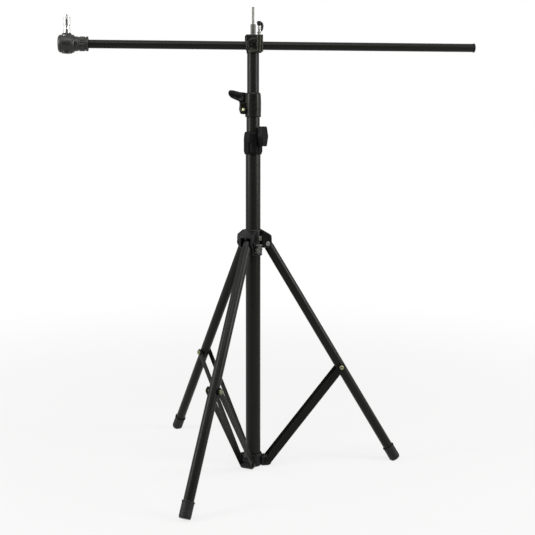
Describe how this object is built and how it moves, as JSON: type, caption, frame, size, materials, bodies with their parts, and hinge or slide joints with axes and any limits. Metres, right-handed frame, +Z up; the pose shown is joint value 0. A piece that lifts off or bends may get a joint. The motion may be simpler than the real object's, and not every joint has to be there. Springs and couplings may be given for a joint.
{
  "type": "boom arm light stand",
  "caption": "Folding tripod light stand: telescoping column, braced tubular legs, sliding and tilting boom arm, upright spigots on its end head and clamp.",
  "frame": {"origin": "on the column's axis at floor level, the plane the three feet stand on", "axes": "+Z up along the column, +X along the right leg and the long end of the arm, +Y to the back"},
  "size_m": [1.0176, 0.6434, 1.1226],
  "materials": {
    "tube_coat": "satin black coat on aluminium tube",
    "black_paint": "satin black paint on pressed steel",
    "cast_coat": "dark olive-black coat on cast aluminium",
    "black_plastic": "moulded black plastic",
    "grey_plastic": "moulded dark warm-grey plastic",
    "foot_rubber": "matt black rubber",
    "chrome_steel": "bright plated steel",
    "zinc_steel": "yellow-passivated zinc on steel"
  },
  "bodies": {
    "base": {"base_tube": "tube_coat", "bottom_hub": "black_plastic", "lower_collar": "black_plastic", "hub_bolt_right": "zinc_steel", "hub_bolt_back_left": "zinc_steel", "hub_bolt_front_left": "zinc_steel"},
    "lower_lock": {"lower_lock_knob": "black_plastic", "lower_lock_screw": "chrome_steel"},
    "spider": {"spider_collar": "black_plastic", "leg_pivot_bolt_right": "zinc_steel", "leg_pivot_bolt_back_left": "zinc_steel", "leg_pivot_bolt_front_left": "zinc_steel"},
    "spider_lock": {"spider_lock_knob": "black_plastic", "spider_lock_screw": "chrome_steel"},
    "leg_right": {"leg_tube_right": "tube_coat", "leg_lug_right": "black_plastic", "foot_right": "foot_rubber"},
    "leg_back_left": {"leg_tube_back_left": "tube_coat", "leg_lug_back_left": "black_plastic", "foot_back_left": "foot_rubber"},
    "leg_front_left": {"leg_tube_front_left": "tube_coat", "leg_lug_front_left": "black_plastic", "foot_front_left": "foot_rubber"},
    "brace_right": {"brace_right_near": "black_paint", "brace_right_far": "black_paint", "brace_bolt_right": "zinc_steel", "brace_nut_right": "zinc_steel"},
    "brace_back_left": {"brace_back_left_near": "black_paint", "brace_back_left_far": "black_paint", "brace_bolt_back_left": "zinc_steel", "brace_nut_back_left": "zinc_steel"},
    "brace_front_left": {"brace_front_left_near": "black_paint", "brace_front_left_far": "black_paint", "brace_bolt_front_left": "zinc_steel", "brace_nut_front_left": "zinc_steel"},
    "mid_section": {"mid_tube": "tube_coat", "mid_tube_plug": "black_plastic", "upper_collar": "cast_coat", "clamp_bolt": "zinc_steel"},
    "wing": {"wing_lever": "black_plastic"},
    "upper_section": {"upper_tube": "tube_coat", "upper_tube_plug": "black_plastic"},
    "head": {"head_fork": "cast_coat", "tilt_screw_front": "black_paint", "tilt_screw_back": "black_paint"},
    "cradle": {"arm_cradle": "cast_coat", "top_spigot": "chrome_steel"},
    "arm_lock": {"arm_lock_screw": "chrome_steel", "arm_lock_nut": "zinc_steel", "arm_lock_handle": "black_plastic"},
    "arm": {"arm_tube": "tube_coat", "arm_end_cap": "black_plastic", "arm_neck": "grey_plastic"},
    "arm_head": {"arm_head_barrel": "grey_plastic", "arm_spigot": "chrome_steel", "spigot_nut": "chrome_steel"}
  },
  "joints": [
    {"name": "lower_lock_turn", "type": "hinge", "parent": "base", "child": "lower_lock", "pos_m": [0, 0, 0.8103], "axis": [0.6884, -0.7254, 0], "range_deg": [-180, 180]},
    {"name": "leg_fold", "type": "slide", "parent": "base", "child": "spider", "axis": [0, 0, 1], "range_m": [0, 0.11461]},
    {"name": "spider_lock_turn", "type": "hinge", "parent": "spider", "child": "spider_lock", "pos_m": [0, 0, 0.53554], "axis": [0.309, -0.9511, 0], "range_deg": [-180, 180]},
    {"name": "leg_swing_right", "type": "hinge", "parent": "spider", "child": "leg_right", "pos_m": [0.034, 0, 0.55054], "axis": [0, 1, 0], "range_deg": [0, 28.25]},
    {"name": "leg_swing_back_left", "type": "hinge", "parent": "spider", "child": "leg_back_left", "pos_m": [-0.017, 0.02944, 0.55054], "axis": [-0.866, -0.5, 0], "range_deg": [0, 28.25]},
    {"name": "leg_swing_front_left", "type": "hinge", "parent": "spider", "child": "leg_front_left", "pos_m": [-0.017, -0.02944, 0.55054], "axis": [0.866, -0.5, 0], "range_deg": [0, 28.25]},
    {"name": "brace_swing_right", "type": "hinge", "parent": "base", "child": "brace_right", "pos_m": [0.034, 0, 0.0133], "axis": [0, -1, 0], "range_deg": [0, 35.88]},
    {"name": "brace_swing_back_left", "type": "hinge", "parent": "base", "child": "brace_back_left", "pos_m": [-0.017, 0.02944, 0.0133], "axis": [0.866, 0.5, 0], "range_deg": [0, 35.88]},
    {"name": "brace_swing_front_left", "type": "hinge", "parent": "base", "child": "brace_front_left", "pos_m": [-0.017, -0.02944, 0.0133], "axis": [-0.866, 0.5, 0], "range_deg": [0, 35.88]},
    {"name": "mid_slide", "type": "slide", "parent": "base", "child": "mid_section", "axis": [0, 0, 1], "range_m": [-0.033, 0.58]},
    {"name": "wing_turn", "type": "hinge", "parent": "mid_section", "child": "wing", "pos_m": [-0.0255, 0, 0.8745], "axis": [0, 1, 0], "range_deg": [-80, 40]},
    {"name": "upper_slide", "type": "slide", "parent": "mid_section", "child": "upper_section", "axis": [0, 0, 1], "range_m": [-0.042, 0.55]},
    {"name": "head_pan", "type": "hinge", "parent": "upper_section", "child": "head", "pos_m": [0, 0, 1.0295], "axis": [0, 0, 1], "continuous": true},
    {"name": "arm_tilt", "type": "hinge", "parent": "head", "child": "cradle", "pos_m": [0, 0, 1.0295], "axis": [0, 1, 0], "range_deg": [-22, 22]},
    {"name": "arm_lock_turn", "type": "hinge", "parent": "cradle", "child": "arm_lock", "pos_m": [0.0146, 0, 1.0295], "axis": [0, 0, 1], "range_deg": [-90, 90]},
    {"name": "arm_slide", "type": "slide", "parent": "cradle", "child": "arm", "axis": [1, 0, 0], "range_m": [-0.45, 0.25]},
    {"name": "arm_head_turn", "type": "hinge", "parent": "arm", "child": "arm_head", "pos_m": [-0.4278, 0, 1.0295], "axis": [1, 0, 0], "continuous": true}
  ],
  "couplings": [
    {"joint": "leg_swing_right", "follows": "leg_fold", "rad_per_m": 4.2943},
    {"joint": "leg_swing_back_left", "follows": "leg_fold", "rad_per_m": 4.2943},
    {"joint": "leg_swing_front_left", "follows": "leg_fold", "rad_per_m": 4.2943},
    {"joint": "brace_swing_right", "follows": "leg_fold", "rad_per_m": 5.4569},
    {"joint": "brace_swing_back_left", "follows": "leg_fold", "rad_per_m": 5.4569},
    {"joint": "brace_swing_front_left", "follows": "leg_fold", "rad_per_m": 5.4569}
  ]
}
